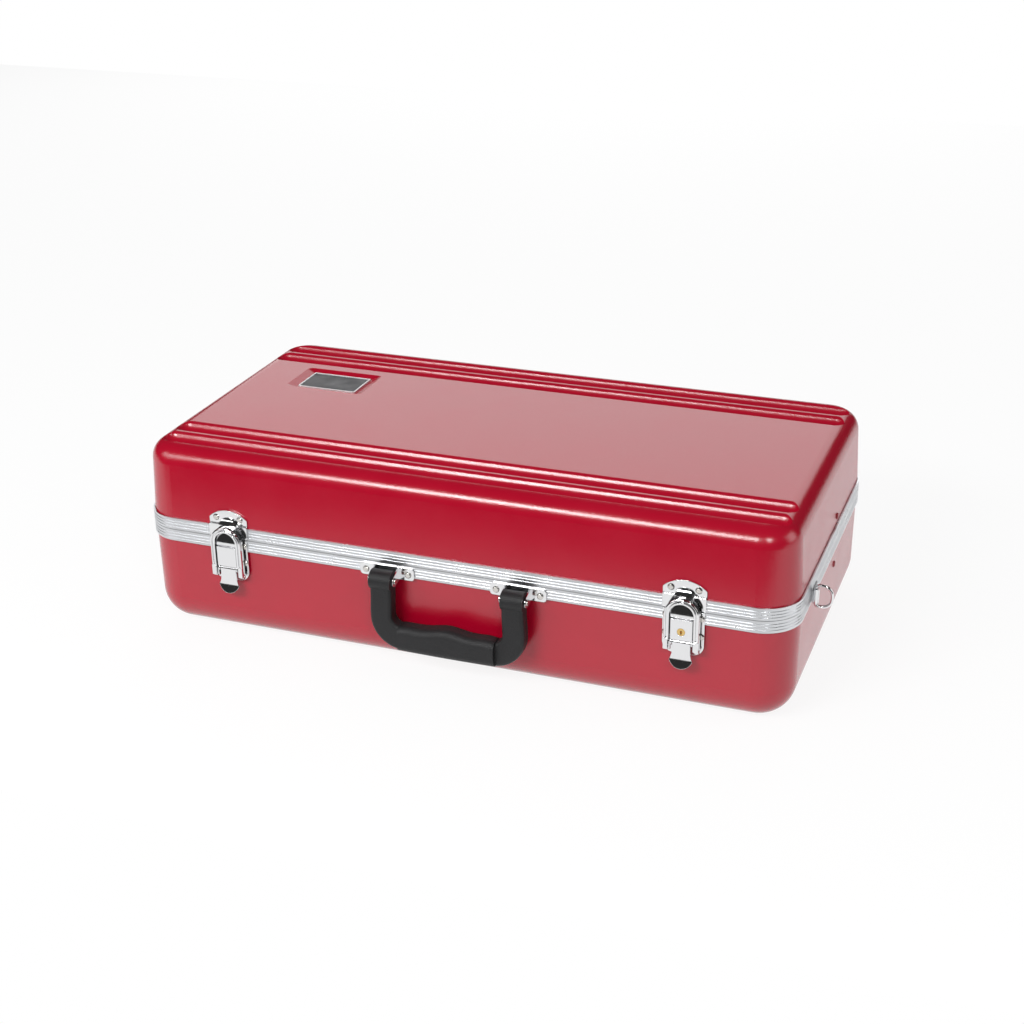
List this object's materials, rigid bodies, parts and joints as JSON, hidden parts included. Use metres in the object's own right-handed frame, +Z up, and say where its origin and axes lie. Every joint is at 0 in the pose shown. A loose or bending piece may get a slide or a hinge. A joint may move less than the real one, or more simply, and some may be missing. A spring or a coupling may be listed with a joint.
{
  "type": "trumpet case",
  "caption": "Rectangular moulded trumpet case with a hinged lid, aluminium valance, draw latches, drop handle, shoulder-strap rings and a shaped plush interior.",
  "frame": {"origin": "centre of the case's flat underside, on the ground", "axes": "+X to the right along the front, +Y towards the hinges, +Z up"},
  "size_m": [0.594, 0.3189, 0.165],
  "materials": {
    "red_abs": "fine grained, semi-gloss",
    "valance": "satin anodised",
    "chrome": "polished",
    "rivet": "nickel plated",
    "brass": "polished",
    "handle": "grained",
    "plush": "short pile plush over foam",
    "webbing": "woven",
    "plate": "dark field, bright border"
  },
  "bodies": {
    "base": {"base_shell": "red_abs", "base_valance": "valance", "base_liner": "plush", "left_latch_base": "chrome", "right_latch_base": "chrome", "latch_rivets": "rivet", "left_handle_bracket": "chrome", "right_handle_bracket": "chrome", "handle_bracket_rivets": "rivet", "handle_pins": "rivet", "left_hinge_base_leaf": "chrome", "right_hinge_base_leaf": "chrome", "hinge_base_rivets": "rivet", "hinge_pins": "chrome", "left_ring_clip": "chrome", "right_ring_clip": "chrome", "ring_clip_rivets": "rivet", "stay_base_rivet": "rivet", "stay_strap": "webbing"},
    "lid": {"lid_shell": "red_abs", "lid_valance": "valance", "lid_liner": "plush", "name_plate": "plate", "left_catch_plate": "chrome", "right_catch_plate": "chrome", "catch_rivets": "rivet", "left_hinge_lid_leaf": "chrome", "right_hinge_lid_leaf": "chrome", "hinge_lid_rivets": "rivet", "stay_lid_rivet": "rivet"},
    "left_latch_lever": {"left_latch_lever": "chrome"},
    "right_latch_lever": {"right_latch_lever": "chrome"},
    "left_latch_bail": {"left_latch_bail": "chrome"},
    "right_latch_bail": {"right_latch_bail": "chrome"},
    "lock_plug": {"lock_plug": "brass"},
    "handle": {"handle": "handle"},
    "left_strap_ring": {"left_strap_ring": "chrome"},
    "right_strap_ring": {"right_strap_ring": "chrome"}
  },
  "joints": [
    {"name": "lid_hinge", "type": "hinge", "parent": "base", "child": "lid", "pos_m": [0, 0.14955, 0.093], "axis": [-1, 0, 0], "range_deg": [0, 100], "deforming": ["stay_strap"]},
    {"name": "handle_swing", "type": "hinge", "parent": "base", "child": "handle", "pos_m": [0.0048, -0.1564, 0.083], "axis": [-1, 0, 0], "range_deg": [0, 165]},
    {"name": "lock_turn", "type": "hinge", "parent": "base", "child": "lock_plug", "pos_m": [0.195, -0.1511, 0.0774], "axis": [0, -1, 0], "range_deg": [0, 90]},
    {"name": "left_lever_pull", "type": "hinge", "parent": "base", "child": "left_latch_lever", "pos_m": [-0.195, -0.1502, 0.067], "axis": [-1, 0, 0], "range_deg": [0, 95]},
    {"name": "left_bail_lean", "type": "hinge", "parent": "left_latch_lever", "child": "left_latch_bail", "pos_m": [-0.195, -0.1502, 0.0614], "axis": [-1, 0, 0], "range_deg": [-120, 0]},
    {"name": "left_ring_swing", "type": "hinge", "parent": "base", "child": "left_strap_ring", "pos_m": [-0.2832, -0.083, 0.0889], "axis": [0, 0, 1], "range_deg": [-75, 75]},
    {"name": "right_lever_pull", "type": "hinge", "parent": "base", "child": "right_latch_lever", "pos_m": [0.195, -0.1502, 0.067], "axis": [-1, 0, 0], "range_deg": [0, 95]},
    {"name": "right_bail_lean", "type": "hinge", "parent": "right_latch_lever", "child": "right_latch_bail", "pos_m": [0.195, -0.1502, 0.0614], "axis": [-1, 0, 0], "range_deg": [-120, 0]},
    {"name": "right_ring_swing", "type": "hinge", "parent": "base", "child": "right_strap_ring", "pos_m": [0.2832, -0.083, 0.0889], "axis": [0, 0, 1], "range_deg": [-75, 75]}
  ],
  "couplings": [
    {"joint": "left_bail_lean", "follows": "left_lever_pull", "ratio": -1.25},
    {"joint": "right_bail_lean", "follows": "right_lever_pull", "ratio": -1.25}
  ]
}
